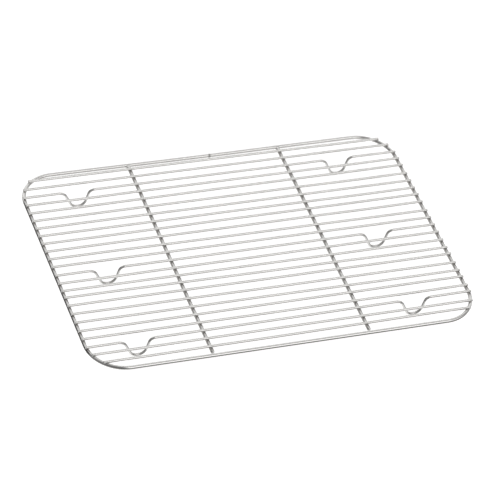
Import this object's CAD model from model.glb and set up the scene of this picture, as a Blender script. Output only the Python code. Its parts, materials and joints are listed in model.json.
"""A rectangular stainless wire rack, lying flat with +Z up and its front towards -Y.

A bent rim and two cross bearers (along Y) carry a row of grid wires (along X). Some of
the wires dip down into feet. Weld beads sit at the crossings. All lengths are in metres.
"""

import json
import math
import random

import bpy
from mathutils import Matrix, Vector, noise


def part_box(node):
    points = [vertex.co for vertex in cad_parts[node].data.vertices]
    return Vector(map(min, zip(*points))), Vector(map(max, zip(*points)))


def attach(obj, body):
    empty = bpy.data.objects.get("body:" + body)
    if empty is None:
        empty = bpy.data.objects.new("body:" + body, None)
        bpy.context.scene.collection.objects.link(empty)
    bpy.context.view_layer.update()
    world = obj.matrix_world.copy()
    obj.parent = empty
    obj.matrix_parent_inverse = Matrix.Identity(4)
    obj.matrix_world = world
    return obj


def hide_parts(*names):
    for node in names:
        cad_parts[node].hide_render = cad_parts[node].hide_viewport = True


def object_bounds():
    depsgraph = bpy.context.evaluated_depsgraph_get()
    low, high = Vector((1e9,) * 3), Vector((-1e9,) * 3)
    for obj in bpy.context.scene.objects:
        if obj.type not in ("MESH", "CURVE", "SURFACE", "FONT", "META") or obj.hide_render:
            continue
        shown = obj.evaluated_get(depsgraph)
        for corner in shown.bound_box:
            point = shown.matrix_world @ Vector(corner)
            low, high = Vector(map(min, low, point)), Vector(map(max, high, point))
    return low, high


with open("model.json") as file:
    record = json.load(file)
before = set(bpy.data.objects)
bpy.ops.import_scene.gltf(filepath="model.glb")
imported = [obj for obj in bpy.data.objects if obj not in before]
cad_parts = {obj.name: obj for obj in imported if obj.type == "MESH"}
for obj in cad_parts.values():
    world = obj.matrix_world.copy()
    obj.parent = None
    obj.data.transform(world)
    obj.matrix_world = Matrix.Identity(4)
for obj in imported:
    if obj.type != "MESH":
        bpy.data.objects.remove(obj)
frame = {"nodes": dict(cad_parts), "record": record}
cad_lo, cad_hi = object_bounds()
MM = 0.001
TAU = math.tau
slot_of = {part["node"]: part["material_slot"] for part in frame["record"]["subparts"]}

# ---------------------------------------------------------------------------
# Dimensions: _R is a wire's radius, _Z the height of its centreline
# ---------------------------------------------------------------------------
rim_lo, rim_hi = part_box("rim_frame")
RIM_R = (rim_hi.z - rim_lo.z) / 2
RIM_Z = (rim_hi.z + rim_lo.z) / 2
RIM_HX = (rim_hi.x - rim_lo.x) / 2 - RIM_R      # half the centreline's width
RIM_HY = (rim_hi.y - rim_lo.y) / 2 - RIM_R      # half its depth
CORNER_R = 35.0 * MM - RIM_R                    # centreline radius of the rim's corners
FLAT_X = RIM_HX - CORNER_R                      # half lengths of the straight sides
FLAT_Y = RIM_HY - CORNER_R
BACK_BOW = 0.5 * MM                             # how far the back side is pulled in

grid_lo, grid_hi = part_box("grid_wire_08")
GRID_R = (grid_hi.z - grid_lo.z) / 2
GRID_Z = (grid_hi.z + grid_lo.z) / 2

# A foot: half widths to the corners of its bends, and the bends' radii. Its top is
# shifted left and its bottom right by FOOT_LEAN.
FOOT_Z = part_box("foot_wire_middle")[0].z + GRID_R
FOOT_TOP, FOOT_BOTTOM, FOOT_LEAN = 12.4 * MM, 5.7 * MM, 1.6 * MM
FOOT_LEFT_R, FOOT_RIGHT_R, FOOT_BOTTOM_R = 9.0 * MM, 5.3 * MM, 7.4 * MM

BEARER_SEEDS = {"bearer_left": 5, "bearer_right": 6}
bearer_box = {node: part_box(node) for node in BEARER_SEEDS}
left_lo, left_hi = bearer_box["bearer_left"]
BEARER_R = (left_hi.z - left_lo.z) / 2
BEARER_Z = (left_hi.z + left_lo.z) / 2
BEARER_X = {node: (lo.x + hi.x) / 2 for node, (lo, hi) in bearer_box.items()}

WIRE_STEP = 1.6 * MM            # spacing of sections along grid wires and bearers
FOOT_ARC_STEP = 0.45 * MM
RIM_STEP = 2.0 * MM
RIM_ARC_STEP = 1.2 * MM
THIN_SIDES, THICK_SIDES = 24, 32

# Shape of a swept wire's surface
WOBBLE = 0.006 * MM             # unevenness of the radius
WOBBLE_LENGTH = 7 * MM
PRESS_DEPTH = 0.10 * MM         # flat pressed by an electrode on top of the wire
PRESS_REACH = 3.2 * MM
PRESS_SOFT = 0.12 * MM          # height over which the flat blends into the round
PRESS_SPREAD = 0.35             # sideways swelling for the depth pressed
END_STEPS = 5                   # sections in the rounding of a cut end
TILT_REACH = 1.5 * MM           # length of wire that shares an end face's tilt

# Weld metal
BEAD_SIZE = (1.25 * MM, 1.02 * MM, 0.42 * MM)           # half sizes
BEAD_Z = GRID_Z - GRID_R + 0.16 * MM
END_BEAD_SIZE = (2.15 * MM, 1.15 * MM, 1.72 * MM)
BEAD_RINGS, BEAD_SEGMENTS = 10, 18
BEAD_ROUGH = 0.10
BEAD_UV_LENGTH = 0.002
BUTT_X = 6.0 * MM               # the weld that closes the rim, on the back side
BUTT_HALF = 1.3 * MM
BUTT_HEIGHT = 0.16 * MM
BUTT_SINK = 0.02 * MM           # how far its edges sink into the rim
BUTT_RINGS = 13
BUTT_UV_STEP = 0.0002
GRID_HEAT_REACH, SCORCH_REACH = 2.6 * MM, 2.2 * MM
SCORCH_DX, SCORCH_DY = 1.2 * MM, -2.4 * MM              # scorch's place beside its weld


# ---------------------------------------------------------------------------
# Paths
# ---------------------------------------------------------------------------
def spaced(start, end, step):
    """Values from start to end at about the given step, both included."""
    count = max(2, int(math.ceil(abs(end - start) / step)) + 1)
    return [start + (end - start) * i / (count - 1) for i in range(count)]


def bent_profile(corners, radii, step, arc_step):
    """Points (x, height) along a polyline with rounded corners."""
    points = []
    start = Vector(corners[0])
    for k, radius in enumerate(radii, 1):
        before, corner, after = (Vector(corners[i]) for i in (k - 1, k, k + 1))
        to_before = (before - corner).normalized()
        to_after = (after - corner).normalized()
        turn = math.pi - math.acos(max(-1, min(1, to_before.dot(to_after))))
        setback = radius * math.tan(turn / 2)
        arc_start = corner + to_before * setback
        arc_end = corner + to_after * setback
        run = max((arc_start - start).length, 1e-9)
        points += [start.lerp(arc_start, f) for f in spaced(0, 1, step / run)[:-1]]
        bisector = (to_before + to_after).normalized()
        centre = corner + bisector * math.hypot(setback, radius)
        angle0 = math.atan2(arc_start.y - centre.y, arc_start.x - centre.x)
        angle1 = math.atan2(arc_end.y - centre.y, arc_end.x - centre.x)
        swing = (angle1 - angle0 + math.pi) % TAU - math.pi
        for f in spaced(0, 1, arc_step / abs(swing * radius))[:-1]:
            angle = angle0 + swing * f
            points.append(centre + Vector((math.cos(angle), math.sin(angle))) * radius)
        start = arc_end
    end = Vector(corners[-1])
    points += [start.lerp(end, f) for f in spaced(0, 1, step / (end - start).length)]
    return points


def rim_back_y(x):
    """Y of the back rim's centreline at x."""
    if abs(x) > FLAT_X:
        return RIM_HY
    return RIM_HY - BACK_BOW * math.cos(math.pi / 2 * x / FLAT_X) ** 2


def rim_path():
    """The rim's centreline, anticlockwise from the middle of the front side."""
    def run(start, end):
        return spaced(start, end, RIM_STEP)[:-1]

    straights = [
        [(x, -RIM_HY) for x in run(0, FLAT_X)],
        [(RIM_HX, y) for y in run(-FLAT_Y, FLAT_Y)],
        [(x, rim_back_y(x)) for x in run(FLAT_X, -FLAT_X)],
        [(-RIM_HX, y) for y in run(FLAT_Y, -FLAT_Y)],
    ]
    centres = [(FLAT_X, -FLAT_Y), (FLAT_X, FLAT_Y), (-FLAT_X, FLAT_Y), (-FLAT_X, -FLAT_Y)]
    plan = []
    for quarter, (straight, (x, y)) in enumerate(zip(straights, centres)):
        plan += straight
        angles = spaced((quarter - 1) * math.pi / 2, quarter * math.pi / 2,
                        RIM_ARC_STEP / CORNER_R)[:-1]
        plan += [(x + CORNER_R * math.cos(a), y + CORNER_R * math.sin(a)) for a in angles]
    plan += [(x, -RIM_HY) for x in run(-FLAT_X, 0)]
    return [Vector((x, y, RIM_Z)) for x, y in plan]


# ---------------------------------------------------------------------------
# Meshes
# ---------------------------------------------------------------------------
def face_outwards(mesh):
    """Turns the whole surface outwards if its signed volume is negative."""
    volume = 0.0
    verts = mesh.vertices
    for poly in mesh.polygons:
        first, *rest = [verts[i].co for i in poly.vertices]
        for a, b in zip(rest, rest[1:]):
            volume += first.dot(a.cross(b))
    if volume < 0:
        mesh.flip_normals()


def mesh_object(name, verts, faces, uvs):
    """A smooth object; uvs holds one tuple of (u, v) corners for each face."""
    mesh = bpy.data.meshes.new(name)
    mesh.from_pydata([tuple(v) for v in verts], [], faces)
    layer = mesh.uv_layers.new(name="wire")
    corners = [uv for face in uvs for uv in face]
    for item, uv in zip(layer.data, corners):
        item.uv = uv
    mesh.polygons.foreach_set("use_smooth", [True] * len(mesh.polygons))
    mesh.update()
    face_outwards(mesh)
    ob = bpy.data.objects.new(name, mesh)
    bpy.context.scene.collection.objects.link(ob)
    return ob


def tube(name, rings, along, caps=(), loop_length=None):
    """Skins rings of vertices; along is each ring's V in the UV map.
    caps holds (centre, corner UV of each segment) for the first and last ring.
    With loop_length the tube joins up with its start instead."""
    sides, count = len(rings[0]), len(rings)
    verts = [v for ring in rings for v in ring]
    faces, uvs = [], []
    for k in range(count if loop_length else count - 1):
        k2 = (k + 1) % count
        v0, v1 = along[k], along[k2] if k2 else loop_length
        for j in range(sides):
            j2 = (j + 1) % sides
            faces.append((k * sides + j, k * sides + j2, k2 * sides + j2, k2 * sides + j))
            u0, u1 = j / sides, (j + 1) / sides
            uvs.append(((u0, v0), (u1, v0), (u1, v1), (u0, v1)))
    for ring, (centre, cap_uvs) in zip((0, count - 1), caps):
        base, middle = ring * sides, len(verts)
        verts.append(centre)
        for j in range(sides):
            edge = (base + j, base + (j + 1) % sides)
            faces.append((*(edge if ring else edge[::-1]), middle))
            uvs.append((cap_uvs[j],) * 3)
    return mesh_object(name, verts, faces, uvs)


def sweep(name, path, side, radius, sides, seed, closed=False, marks=(),
          end_round=0.35 * MM, cap_tilt=(0.0, 0.0)):
    """A round wire along path. side(tangent) is the section's first axis.
    marks are arc lengths where an electrode has pressed the top of the wire flat.
    UV holds u round the section and v along the wire, in metres."""
    count = len(path)
    arc = [0.0]
    for a, b in zip(path, path[1:]):
        arc.append(arc[-1] + (b - a).length)
    total = arc[-1] + ((path[0] - path[-1]).length if closed else 0.0)

    stations = []           # (point, tangent, arc length, radius)
    for k in range(count):
        if closed:
            tangent = path[(k + 1) % count] - path[k - 1]
        else:
            tangent = path[min(k + 1, count - 1)] - path[max(k - 1, 0)]
        stations.append((path[k], tangent.normalized(), arc[k], radius))
    if not closed:
        # Cut ends: a small rounding, then a flat face a little out of square.
        (start, start_dir, _, _), (end, end_dir, _, _) = stations[0], stations[-1]
        head, tail = [], []
        for j in range(END_STEPS + 1):
            angle = math.pi / 2 * j / END_STEPS
            r = radius - end_round + end_round * math.sin(angle)
            inset = end_round * (1 - math.cos(angle))
            head.append((start + start_dir * inset, start_dir, inset, r))
            tail.append((end - end_dir * inset, end_dir, total - inset, r))
        clear = end_round * 1.2
        stations = head + [s for s in stations if clear < s[2] < total - clear] + tail[::-1]

    def section(point, tangent, along, r):
        across = side(tangent)
        up = tangent.cross(across).normalized()
        if up.z < 0 or (abs(up.z) < 1e-6 and up.y < 0):
            up = -up
        press = 0.0
        for mark in marks:
            away = abs(along - mark)
            if away < PRESS_REACH:
                fade = math.cos(away / PRESS_REACH * math.pi / 2) ** 2
                press = max(press, PRESS_DEPTH * fade)
        tilt = 0.0
        if not closed:
            if along < TILT_REACH:
                tilt = cap_tilt[0] * (1 - along / TILT_REACH)
            elif along > total - TILT_REACH:
                tilt = cap_tilt[1] * (1 - (total - along) / TILT_REACH)
        ring = []
        for j in range(sides):
            cos, sin = math.cos(TAU * j / sides), math.sin(TAU * j / sides)
            spot = Vector((along / WOBBLE_LENGTH, seed * 3.1 + cos, sin))
            uneven = r + WOBBLE * noise.noise(spot)
            x, y = cos * uneven, sin * uneven
            if press > 0:
                knee = r - press - PRESS_SOFT
                if y > knee:
                    y = knee + PRESS_SOFT * math.tanh((y - knee) / (2 * PRESS_SOFT))
                x *= 1 + PRESS_SPREAD * press / r
            ring.append(point + across * x + up * y + tangent * (tilt * sin * r))
        return ring

    rings = [section(*station) for station in stations]
    along = [station[2] for station in stations]
    if closed:
        return tube(name, rings, along, loop_length=total)
    caps = [(sum(rings[k], Vector()) / sides, [(j / sides, along[k]) for j in range(sides)])
            for k in (0, -1)]
    return tube(name, rings, along, caps)


def heat(ob, spots, reach):
    """UV map "heat": U is 1 at the middle of a weld and falls to 0 past its reach."""
    layer = ob.data.uv_layers.new(name="heat", do_init=False)
    values = []
    for vert in ob.data.vertices:
        near = 0.0
        for spot in spots:
            if abs(spot.y - vert.co.y) < reach * 2.2:
                near = max(near, math.exp(-((vert.co - spot).length / reach) ** 2))
        values.append(near)
    for loop, item in zip(ob.data.loops, layer.data):
        item.uv = (values[loop.vertex_index], 0.0)


pieces = []                 # (object, key of its material)


def keep(ob, slot, node=None):
    """Registers a piece; one that replaces no CAD node is weld metal."""
    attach(ob, "root")
    if node:
        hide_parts(node)
    pieces.append((ob, slot if node else "weld"))


# ---------------------------------------------------------------------------
# Rim: one bent loop, its back side pulled in a little at the middle
# ---------------------------------------------------------------------------
rim = sweep("rim_wire", rim_path(), lambda t: t.cross(Vector((0, 0, 1))).normalized(),
            RIM_R, THICK_SIDES, seed=1, closed=True)
keep(rim, slot_of["rim_frame"], "rim_frame")

# ---------------------------------------------------------------------------
# Grid wires and foot wires
# ---------------------------------------------------------------------------
rng = random.Random(11)
crossings = []              # (x, y, what lies under the grid wire) of every weld


def ends_of(node):
    """A grid wire's two centreline ends in plan, from the vertices near its cut ends."""
    points = [v.co for v in frame["nodes"][node].data.vertices]
    lo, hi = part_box(node)
    left = [p.y for p in points if p.x < lo.x + 0.5 * MM]
    right = [p.y for p in points if p.x > hi.x - 0.5 * MM]
    return lo.x, (min(left) + max(left)) / 2, hi.x, (min(right) + max(right)) / 2


def foot_centres(node):
    """X of the middle of each foot in a foot wire, from its outline well below the grid."""
    points = [v.co for v in frame["nodes"][node].data.vertices]
    low = [p.x for p in points if p.z < FOOT_Z + GRID_R * 0.9]
    drop = GRID_Z - FOOT_Z
    turn_left = math.atan2(drop, FOOT_TOP - FOOT_BOTTOM + 2 * FOOT_LEAN)
    turn_right = math.atan2(drop, FOOT_TOP - FOOT_BOTTOM - 2 * FOOT_LEAN)
    bend_shift = FOOT_BOTTOM_R * (math.tan(turn_left / 2) - math.tan(turn_right / 2)) / 2
    offset = FOOT_LEAN + bend_shift
    halves = [x for x in low if x < 0], [x for x in low if x > 0]
    return [(min(half) + max(half)) / 2 - offset for half in halves]


def foot_profile(node, x0, x1):
    """Points (x, height) of a wire that dips into its feet."""
    corners, radii = [(x0, GRID_Z)], []
    for x in foot_centres(node):
        corners += [(x - FOOT_TOP - FOOT_LEAN, GRID_Z), (x - FOOT_BOTTOM + FOOT_LEAN, FOOT_Z),
                    (x + FOOT_BOTTOM + FOOT_LEAN, FOOT_Z), (x + FOOT_TOP - FOOT_LEAN, GRID_Z)]
        radii += [FOOT_LEFT_R, FOOT_BOTTOM_R, FOOT_BOTTOM_R, FOOT_RIGHT_R]
    corners.append((x1, GRID_Z))
    return bent_profile(corners, radii, WIRE_STEP, FOOT_ARC_STEP)


def wander(x, amounts):
    """Drift of a wire between its welds, one amount for each of its three spans."""
    stops = [-RIM_HX, BEARER_X["bearer_left"], BEARER_X["bearer_right"], RIM_HX]
    for start, end, amount in zip(stops, stops[1:], amounts):
        if start < x < end:
            return amount * math.sin(math.pi * (x - start) / (end - start)) ** 2
    return 0.0


def grid_wire(node):
    x0, y0, x1, y1 = ends_of(node)
    slope = (y1 - y0) / (x1 - x0)
    bow = [rng.uniform(-0.22, 0.22) * MM for _ in range(3)]
    # A foot wire takes its draws too, though it has no sag.
    sag = [rng.uniform(-0.12, 0.05) * MM for _ in range(3)]

    def wire_y(x):
        return y0 + slope * (x - x0) + wander(x, bow)

    if node.startswith("foot"):
        path = [Vector((p.x, wire_y(p.x), p.y)) for p in foot_profile(node, x0, x1)]
    else:
        path = [Vector((x, wire_y(x), GRID_Z + wander(x, sag)))
                for x in spaced(x0, x1, WIRE_STEP)]

    # Where the wire sits on the bearers and on the rim, whose corners curve inwards
    seats = dict(BEARER_X)
    for sign, kind in ((-1, "rim_left"), (1, "rim_right")):
        into = abs(wire_y(sign * RIM_HX)) - FLAT_Y
        reach = RIM_HX if into <= 0 else FLAT_X + math.sqrt(CORNER_R ** 2 - into ** 2)
        seats[kind] = sign * reach
    crossings.extend((x, wire_y(x), kind) for kind, x in seats.items())

    length, marks = 0.0, []
    for a, b in zip(path, path[1:]):
        for x in seats.values():
            if a.x <= x < b.x and a.z > GRID_Z - 1 * MM:
                marks.append(length + (x - a.x))
        length += (b - a).length

    across = Vector((-slope, 1, 0)).normalized()
    cap_tilt = (rng.uniform(-0.12, 0.12), rng.uniform(-0.12, 0.12))
    ob = sweep(node + "_drawn", path, lambda t: across, GRID_R, THIN_SIDES,
               seed=rng.randint(2, 90), marks=marks, cap_tilt=cap_tilt)
    welds = [Vector((x, wire_y(x), GRID_Z - GRID_R)) for x in seats.values()]
    heat(ob, welds, GRID_HEAT_REACH)
    keep(ob, slot_of[node], node)


for node in sorted(n for n in slot_of if n.startswith(("grid_wire", "foot_wire"))):
    grid_wire(node)


# ---------------------------------------------------------------------------
# Cross bearers: rounded front end, back end run into the back rim's weld
# ---------------------------------------------------------------------------
def scorch(ob, seats, z, radius):
    """Marks the scorched spots high on a wire, in front and to the right of its welds."""
    spots = [Vector((x + SCORCH_DX, y + SCORCH_DY, z + radius * 0.75)) for x, y in seats]
    heat(ob, spots, SCORCH_REACH)


def bearer(node, seed):
    x = BEARER_X[node]
    path = [Vector((x + 0.15 * MM * math.sin(y * 30 + x * 90), y, BEARER_Z))
            for y in spaced(bearer_box[node][0].y, rim_back_y(x) - 0.6 * MM, WIRE_STEP)]
    ob = sweep(node + "_bar", path, lambda t: Vector((1, 0, 0)), BEARER_R, THICK_SIDES,
               seed=seed, end_round=1.45 * MM)
    scorch(ob, [(sx, sy) for sx, sy, kind in crossings if kind == node], BEARER_Z, BEARER_R)
    keep(ob, slot_of[node], node)


for node, seed in BEARER_SEEDS.items():
    bearer(node, seed)
scorch(rim, [(x, y) for x, y, kind in crossings
             if kind.startswith("rim") and abs(y) < FLAT_Y + 8 * MM], RIM_Z, RIM_R)


# ---------------------------------------------------------------------------
# Weld metal: a small bead of upset steel at every crossing
# ---------------------------------------------------------------------------
def bead(verts, faces, uvs, centre, size, seed):
    """Adds one lumpy ellipsoid to the lists."""
    base = len(verts)
    last = 1 + (BEAD_RINGS - 1) * BEAD_SEGMENTS
    drift = Vector((seed * 1.37, seed * 0.71, 0.3))

    def add(d):
        lump = 1 + BEAD_ROUGH * noise.noise(d * 1.7 + drift)
        verts.append(centre + Vector((d.x * size[0], d.y * size[1], d.z * size[2])) * lump)

    def index(i, j):
        if i == 0:
            return base
        if i == BEAD_RINGS:
            return base + last
        return base + 1 + (i - 1) * BEAD_SEGMENTS + j % BEAD_SEGMENTS

    add(Vector((0, 0, 1)))
    for i in range(1, BEAD_RINGS):
        polar = math.pi * i / BEAD_RINGS
        for j in range(BEAD_SEGMENTS):
            turn = TAU * j / BEAD_SEGMENTS
            add(Vector((math.sin(polar) * math.cos(turn), math.sin(polar) * math.sin(turn),
                        math.cos(polar))))
    add(Vector((0, 0, -1)))
    for i in range(BEAD_RINGS):
        for j in range(BEAD_SEGMENTS):
            corners = (index(i, j), index(i + 1, j), index(i + 1, j + 1), index(i, j + 1))
            face = tuple(dict.fromkeys(corners))        # triangles at the poles
            faces.append(face)
            uvs.append(((j / BEAD_SEGMENTS, i / BEAD_RINGS * BEAD_UV_LENGTH),) * len(face))


def bead_piece(name, spots, slot):
    verts, faces, uvs = [], [], []
    for i, (centre, size) in enumerate(spots):
        bead(verts, faces, uvs, centre, size, seed=i + len(name))
    keep(mesh_object(name, verts, faces, uvs), slot)


def crossing_beads():
    groups = {"bearer_left": [], "bearer_right": [], "rim_left": [], "rim_right": []}
    for x, y, kind in crossings:
        grow = rng.uniform(0.92, 1.08)
        size = (BEAD_SIZE[0] * grow, BEAD_SIZE[1] * grow, BEAD_SIZE[2])
        groups[kind].append((Vector((x, y, BEAD_Z)), size))
    for kind, spots in groups.items():
        slot = "rim_wire" if kind.startswith("rim") else "bearer_wire"
        bead_piece("weld_beads_" + kind, spots, slot)


def butt_weld():
    """The collar that closes the rim loop, near the middle of the back side."""
    rings, centres = [], []
    for i in range(BUTT_RINGS):
        f = i / (BUTT_RINGS - 1) * 2 - 1
        x = BUTT_X + f * BUTT_HALF
        height = BUTT_HEIGHT * math.cos(f * math.pi / 2) ** 1.5 - BUTT_SINK
        y = rim_back_y(x)
        ring = []
        for j in range(THICK_SIDES):
            cos, sin = math.cos(TAU * j / THICK_SIDES), math.sin(TAU * j / THICK_SIDES)
            lump = 1 + 0.35 * noise.noise(Vector((i * 0.5, cos * 1.6, sin * 1.6)))
            r = RIM_R + height * lump
            ring.append((x, y + r * cos, RIM_Z + r * sin))
        rings.append(ring)
        centres.append((x, y, RIM_Z))
    caps = [(centres[k], [(0, 0)] * THICK_SIDES) for k in (0, -1)]
    along = [i * BUTT_UV_STEP for i in range(BUTT_RINGS)]
    keep(tube("rim_butt_weld", rings, along, caps), "rim_wire")


crossing_beads()
bead_piece("weld_beads_bearer_ends",
           [(Vector((x, rim_back_y(x) - RIM_R * 0.80, BEARER_Z)), END_BEAD_SIZE)
            for x in BEARER_X.values()], "bearer_wire")
butt_weld()


# ---------------------------------------------------------------------------
# Shader graph helpers
# ---------------------------------------------------------------------------
class Graph:
    """An emptied node tree. Inputs are given as sockets to link or as values."""

    def __init__(self, owner):
        owner.use_nodes = True
        self.tree = owner.node_tree
        self.tree.nodes.clear()

    def node(self, kind, inputs=None, **settings):
        node = self.tree.nodes.new("ShaderNode" + kind)
        for name, setting in settings.items():
            setattr(node, name, setting)
        for key, source in (inputs or {}).items():
            if isinstance(source, bpy.types.NodeSocket):
                self.tree.links.new(source, node.inputs[key])
            else:
                node.inputs[key].default_value = source
        return node

    def math(self, operation, *values):
        return self.node("Math", dict(enumerate(values)), operation=operation).outputs[0]

    def xyz(self, vector):
        return self.node("SeparateXYZ", {0: vector}).outputs

    def band(self, x, start, end, low=0.0, high=1.0, interpolation="SMOOTHSTEP"):
        """Step of x from low at start to high at end."""
        return self.node("MapRange", {
            "Value": x, "From Min": start, "From Max": end, "To Min": low, "To Max": high,
        }, interpolation_type=interpolation).outputs[0]

    def blend(self, factor, a, b):
        """a where factor is 0, b where it is 1."""
        rest = self.math("SUBTRACT", 1.0, factor)
        return self.math("ADD", self.math("MULTIPLY", rest, a),
                         self.math("MULTIPLY", factor, b))

    def multiply_colour(self, factor, a, b):
        # Inputs 6 and 7 are the Mix node's colours, output 2 its colour result.
        return self.node("Mix", {"Factor": factor, 6: a, 7: b},
                         data_type="RGBA", blend_type="MULTIPLY").outputs[2]

    def camera_ray(self):
        return self.node("LightPath").outputs["Is Camera Ray"]


# ---------------------------------------------------------------------------
# Materials
# ---------------------------------------------------------------------------
def steel(name, colour, roughness, line_scale, line_bump, tint=0.0, blotch=0.05, heat_tint=0.0):
    """Drawn steel. blotch darkens the slow patches and tint takes out some of their blue."""
    mat = bpy.data.materials.new(name)
    g = Graph(mat)

    # Fine drawing lines, in the coordinates of the straightened wire
    u, v, _ = g.xyz(g.node("UVMap", uv_map="wire").outputs[0])
    angle = g.math("MULTIPLY", u, TAU)
    straightened = g.node("CombineXYZ", {
        "X": g.math("COSINE", angle), "Y": g.math("SINE", angle),
        "Z": g.math("MULTIPLY", v, 14.0),       # low, so the lines stretch along the wire
    }).outputs[0]
    fine = g.node("TexNoise", {"Vector": straightened, "Scale": line_scale,
                               "Detail": 4.0, "Roughness": 0.6}).outputs["Fac"]

    # Slow colour and polish variation over the whole rack, and tiny pits
    place = g.node("TexCoord").outputs["Object"]
    slow = g.node("TexNoise", {"Vector": place, "Scale": 38.0, "Detail": 3.0}).outputs["Fac"]
    pits = g.node("TexNoise", {"Vector": place, "Scale": 1400.0, "Detail": 2.0}).outputs["Fac"]

    patches = g.node("ValToRGB", {0: slow})
    dark_end, light_end = patches.color_ramp.elements
    dark_end.position, light_end.position = 0.32, 0.70
    red, green, blue = (c * (1 - blotch) for c in colour)
    dark_end.color = (red, green, blue * (1 - tint), 1)
    light_end.color = (*colour, 1)
    lines = g.band(fine, 0.3, 0.7, low=0.86, high=1.0, interpolation="LINEAR")
    lined = g.multiply_colour(0.20, patches.outputs[0], lines)

    # Dull scorch and heat tint left by the spot welds
    near_weld = g.xyz(g.node("UVMap", uv_map="heat").outputs[0])[0]
    burnt = g.multiply_colour(g.math("MULTIPLY", near_weld, heat_tint), lined,
                              (0.34, 0.325, 0.31, 1))

    mean = g.math("MULTIPLY", g.math("ADD", fine, slow), 0.5)
    polish = g.band(mean, 0.3, 0.7, low=roughness * 0.75, high=roughness * 1.35,
                    interpolation="LINEAR")
    line_relief = g.node("Bump", {"Strength": line_bump, "Distance": 0.00002,
                                  "Height": fine}).outputs[0]
    relief = g.node("Bump", {"Strength": line_bump * 0.5, "Distance": 0.00001,
                             "Height": pits, "Normal": line_relief}).outputs[0]
    tangent = g.node("Tangent", direction_type="UV_MAP", uv_map="wire").outputs[0]
    surface = g.node("BsdfPrincipled", {
        "Metallic": 1.0, "Base Color": burnt, "Roughness": polish, "Normal": relief,
        "Anisotropic": 0.35, "Tangent": tangent,
    })
    g.node("OutputMaterial", {0: surface.outputs[0]})
    return mat


THICK_STEEL = dict(colour=(0.755, 0.745, 0.73), line_scale=5.0, heat_tint=1.0)
THIN_STEEL = dict(colour=(0.775, 0.764, 0.748), roughness=0.13, line_scale=6.0,
                  line_bump=0.12, heat_tint=0.15)
materials = {
    "rim_wire": steel("stainless_rim", roughness=0.06, line_bump=0.09, **THICK_STEEL),
    "bearer_wire": steel("stainless_bearer", roughness=0.10, line_bump=0.10, **THICK_STEEL),
    "grid_wire": steel("stainless_grid", **THIN_STEEL),
    "foot_wire": steel("stainless_foot", **THIN_STEEL),
    "weld": steel("stainless_weld", colour=(0.50, 0.49, 0.475), roughness=0.34,
                  line_scale=3.0, line_bump=0.8, tint=0.05, blotch=0.22),
}
cad_pieces = [(ob, slot_of[node]) for node, ob in frame["nodes"].items()]
for ob, key in pieces + cad_pieces:
    ob.data.materials.clear()
    ob.data.materials.append(materials[key])

# ---------------------------------------------------------------------------
# Stage, light and camera
# ---------------------------------------------------------------------------
scene = bpy.context.scene
scene.view_settings.view_transform = "Standard"
scene.view_settings.look = "None"
scene.view_settings.exposure = 0.0
scene.view_settings.gamma = 1.0


def paper():
    """White and fully lit to the camera. The polished wire mirrors it bright from
    straight above, and darker at low angles towards the front and left."""
    mat = bpy.data.materials.new("floor_paper")
    g = Graph(mat)
    geometry = g.node("NewGeometry")
    to_x, to_y, to_z = g.xyz(geometry.outputs["Incoming"])      # from the floor to the wire
    x, y, _ = g.xyz(geometry.outputs["Position"])

    # 1 where the wire looks steeply down; the front strip needs a steeper look
    steep = g.blend(g.band(y, -0.22, -0.135),
                    g.band(to_z, 0.64, 0.90),
                    g.band(to_z, 0.38, 0.72))
    # 0 where the floor lies well behind and to the right of the wire
    diagonal = g.math("MULTIPLY", g.math("ADD", to_x, to_y), 0.7)
    front_left = g.band(diagonal, -0.75, -0.15)
    # 1 away from the left and front margins of the floor
    within = g.math("MULTIPLY", g.band(x, -0.24, -0.18), g.band(y, -0.20, -0.135))
    # 1 where the floor lies behind the wire, away from the left margin
    behind = g.math("MULTIPLY", g.band(x, -0.24, -0.18),
                    g.band(to_y, -0.5, -0.3, low=1.0, high=0.0))
    # 1 where the floor lies in front of the wire, away from the front margin
    ahead = g.math("MULTIPLY", g.band(y, -0.17, -0.10), g.band(to_y, 0.2, 0.4))

    # Brightness at low angles, one region laid over another
    low = g.blend(front_left, 0.92, g.blend(within, 0.02, 0.08))
    low = g.blend(behind, low, 0.60)
    low = g.blend(ahead, low, 0.32)
    mirrored = g.node("Emission", {"Strength": g.blend(steep, low, 1.0)})

    pale = g.node("BsdfDiffuse", {"Color": (0.9, 0.9, 0.9, 1)})
    glow = g.node("Emission", {"Strength": 0.64})
    seen = g.node("AddShader", {0: pale.outputs[0], 1: glow.outputs[0]})
    shown = g.node("MixShader", {0: g.camera_ray(), 1: mirrored.outputs[0],
                                 2: seen.outputs[0]})
    g.node("OutputMaterial", {0: shown.outputs[0]})
    return mat


def build_floor():
    half, gap = 3.0, 0.00005
    mesh = bpy.data.meshes.new("floor")
    mesh.from_pydata([(-half, -half, 0), (half, -half, 0), (half, half, 0), (-half, half, 0)],
                     [], [(0, 1, 2, 3)])
    floor = bpy.data.objects.new("floor", mesh)
    scene.collection.objects.link(floor)
    floor.location.z = cad_lo.z - gap
    mesh.materials.append(paper())


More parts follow.
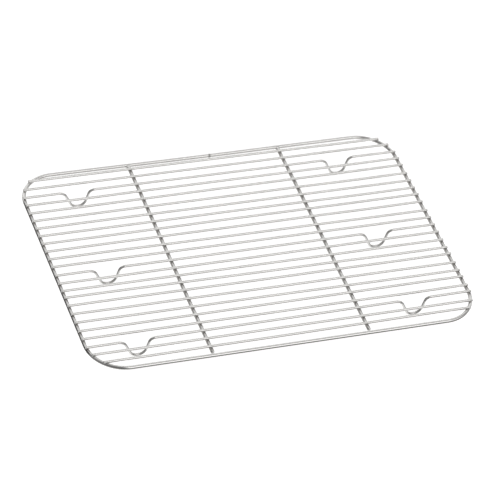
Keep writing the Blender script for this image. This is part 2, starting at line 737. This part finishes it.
def build_world():
    """A soft studio: a broad softbox in front above a dark room low down, grey overhead,
    a lit backdrop behind, and a darker wall far round to the left."""
    world = bpy.data.worlds.new("studio")
    scene.world = world
    g = Graph(world)
    x, y, z = g.xyz(g.node("TexCoord").outputs["Generated"])    # direction of view
    softbox = g.band(z, 0.14, 0.34, low=0.08, high=1.35)
    front = g.blend(g.band(x, -0.06, 0.20), 0.26, softbox)      # dim on its left
    sides = g.math("ADD", g.band(x, -0.70, -0.46, low=0.03, high=0.94),
                   g.band(x, -0.35, 0.45, low=0.0, high=0.12))
    # From front to back: softbox, grey overhead, side walls, backdrop
    room = g.blend(g.band(y, -0.30, -0.14), front, 0.42)
    room = g.blend(g.band(y, 0.14, 0.34), room, sides)
    room = g.blend(g.band(y, 0.69, 0.76), room, 1.35)
    strength = g.blend(g.camera_ray(), room, 1.25)
    background = g.node("Background", {"Strength": strength})
    g.node("OutputWorld", {0: background.outputs[0]})


def build_softbox():
    place, aim = Vector((0.45, -1.0, 1.2)), Vector((0.1, 0, 0))
    light = bpy.data.lights.new("front_softbox", "AREA")
    light.shape = "RECTANGLE"
    light.size, light.size_y = 0.9, 0.5
    light.energy = 1.0
    ob = bpy.data.objects.new("front_softbox", light)
    scene.collection.objects.link(ob)
    ob.location = place
    ob.rotation_euler = (aim - place).to_track_quat("-Z", "Y").to_euler()


def build_camera():
    """Looks down from the front, a little from the left, and rolled."""
    azimuth, elevation, roll = (math.radians(a) for a in (-26.889, 42.535, 11.211))
    distance = 2.8429
    target = Vector((4.90 * MM, 1.87 * MM, GRID_Z - 8.85 * MM))
    data = bpy.data.cameras.new("camera")
    camera = bpy.data.objects.new("camera", data)
    scene.collection.objects.link(camera)
    back = Vector((math.sin(azimuth) * math.cos(elevation),
                   -math.cos(azimuth) * math.cos(elevation), math.sin(elevation)))
    level = Vector((math.cos(azimuth), math.sin(azimuth), 0))
    upright = back.cross(level)
    right = level * math.cos(roll) + upright * math.sin(roll)
    up = -level * math.sin(roll) + upright * math.cos(roll)
    pose = Matrix((right, up, back)).transposed().to_4x4()
    pose.translation = target + back * distance
    camera.matrix_world = pose
    data.sensor_width = 36.0
    data.lens = 225.4824
    data.clip_start, data.clip_end = 0.05, 50.0
    data.dof.use_dof = True
    data.dof.focus_distance = 2.76
    data.dof.aperture_fstop = 16.0
    scene.camera = camera


build_floor()
build_world()
build_softbox()
build_camera()
